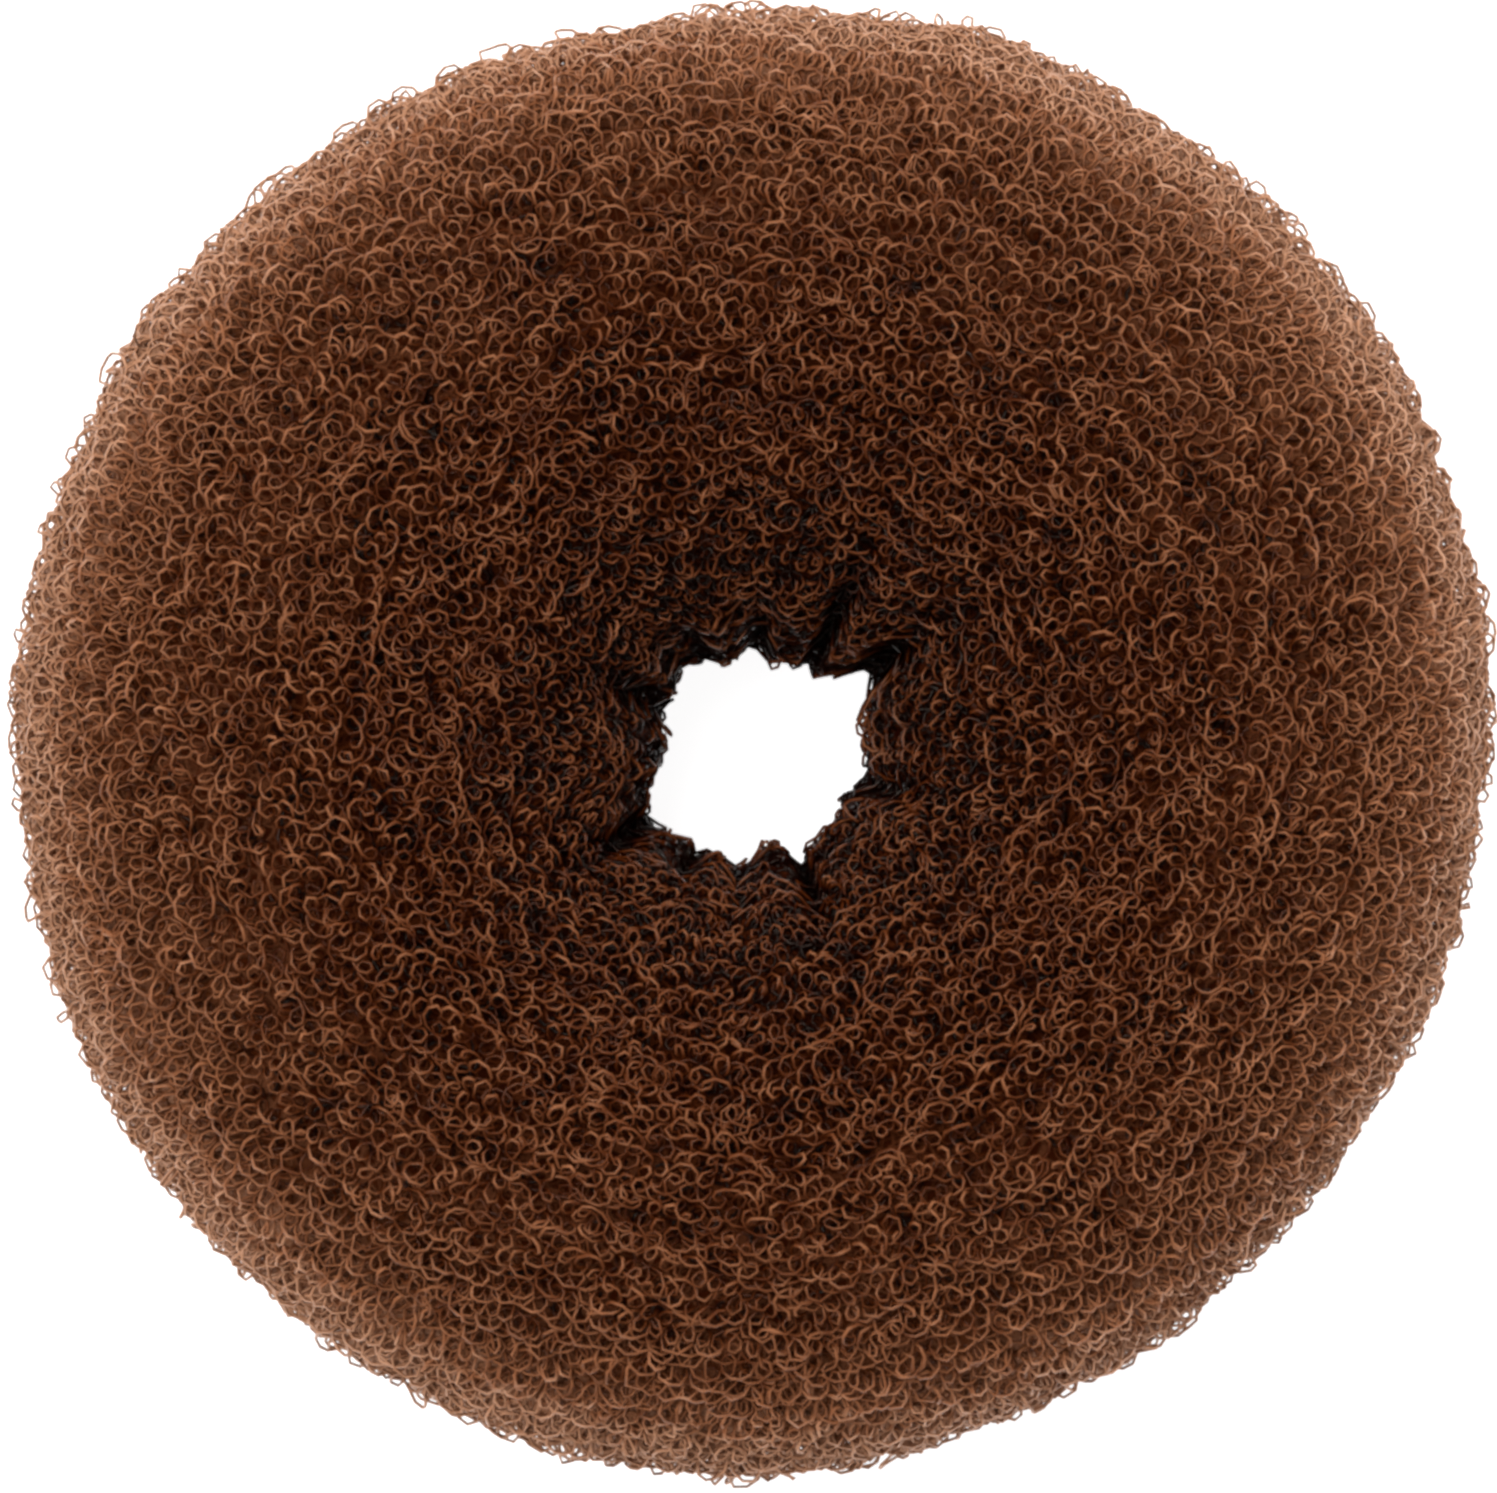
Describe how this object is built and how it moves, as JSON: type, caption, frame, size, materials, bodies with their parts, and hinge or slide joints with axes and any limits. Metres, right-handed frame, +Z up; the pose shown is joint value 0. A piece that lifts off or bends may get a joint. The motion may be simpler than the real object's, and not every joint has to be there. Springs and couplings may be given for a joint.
{
  "type": "hair donut bun maker",
  "caption": "Springy mesh ring that a ponytail is drawn through and spread over, rolled up from a knitted sleeve and gathered round its small hole.",
  "frame": {"origin": "on the table under the middle of the ring as it lies flat", "axes": "+Z up along the ring's axis; +X to the right and +Y away from someone looking down at it as the picture does"},
  "size_m": [0.0851, 0.0848, 0.032],
  "materials": {
    "nylon_mesh": "springy knitted monofilament with a soft sheen"
  },
  "bodies": {
    "root": {"rolled_sleeve": "nylon_mesh"}
  },
  "joints": []
}
